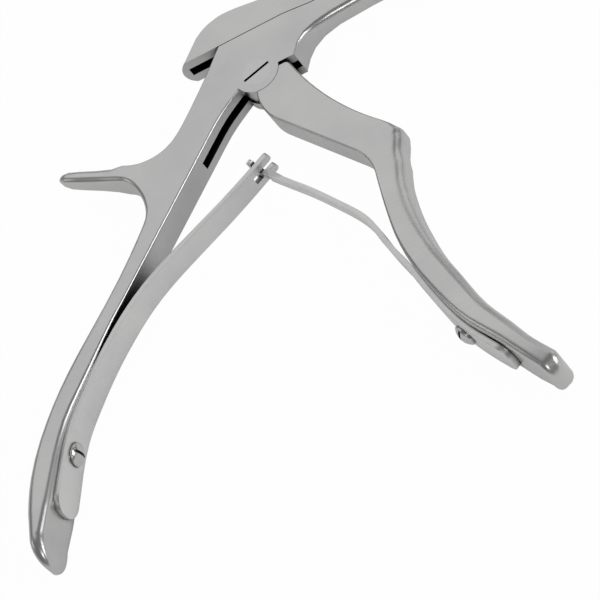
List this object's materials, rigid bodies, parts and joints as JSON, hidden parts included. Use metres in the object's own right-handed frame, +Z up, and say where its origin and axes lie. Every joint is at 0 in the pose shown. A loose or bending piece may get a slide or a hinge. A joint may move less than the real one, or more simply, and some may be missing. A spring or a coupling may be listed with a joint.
{
  "type": "bone rongeur",
  "caption": "Kerrison-type bone rongeur: two curved grips on one pivot, a sliding upper shaft that bites against a fixed foot, and two crossed leaf springs that open it",
  "frame": {"origin": "on the pivot axis, in the plane of the lower flat side of the body", "axes": "+X along the shaft towards the jaw, +Y away from the grips, +Z up out of the upper flat side, with the instrument lying on its side"},
  "size_m": [0.2516, 0.1219, 0.012],
  "materials": {
    "forged_steel": "satin forged stainless steel",
    "spring_steel": "satin rolled spring steel",
    "screw_steel": "fine-turned stainless steel"
  },
  "bodies": {
    "frame": {"fixed_handle": "forged_steel", "pivot_screw": "screw_steel", "rear_spring_foot": "spring_steel", "rear_spring_screw": "screw_steel"},
    "front_handle": {"front_handle": "forged_steel", "front_spring_foot": "spring_steel", "front_spring_screw": "screw_steel"},
    "slider": {"slider": "forged_steel", "drive_pin": "screw_steel"},
    "rear_spring": {"rear_spring_blade": "spring_steel"},
    "front_spring": {"front_spring_blade": "spring_steel"}
  },
  "joints": [
    {"name": "handle_squeeze", "type": "hinge", "parent": "frame", "child": "front_handle", "pos_m": [0, 0, 0.0035], "axis": [0, 0, -1], "range_deg": [0, 34], "stiffness_Nm_per_rad": 1.2, "springref_deg": -11.46},
    {"name": "slider_travel", "type": "slide", "parent": "frame", "child": "slider", "axis": [1, 0, 0], "range_m": [0, 0.0087]},
    {"name": "rear_spring_bend", "type": "hinge", "parent": "frame", "child": "rear_spring", "pos_m": [-0.0446, -0.0455, 0.0035], "axis": [0, 0, 1], "range_deg": [0, 9.5]},
    {"name": "front_spring_bend", "type": "hinge", "parent": "front_handle", "child": "front_spring", "pos_m": [0.01789, -0.06173, 0.0035], "axis": [0, 0, -1], "range_deg": [0, 8.4]}
  ],
  "couplings": [
    {"joint": "slider_travel", "follows": "handle_squeeze", "m_per_rad": 0.014632},
    {"joint": "rear_spring_bend", "follows": "handle_squeeze", "ratio": 0.2792},
    {"joint": "front_spring_bend", "follows": "handle_squeeze", "ratio": 0.2452}
  ]
}
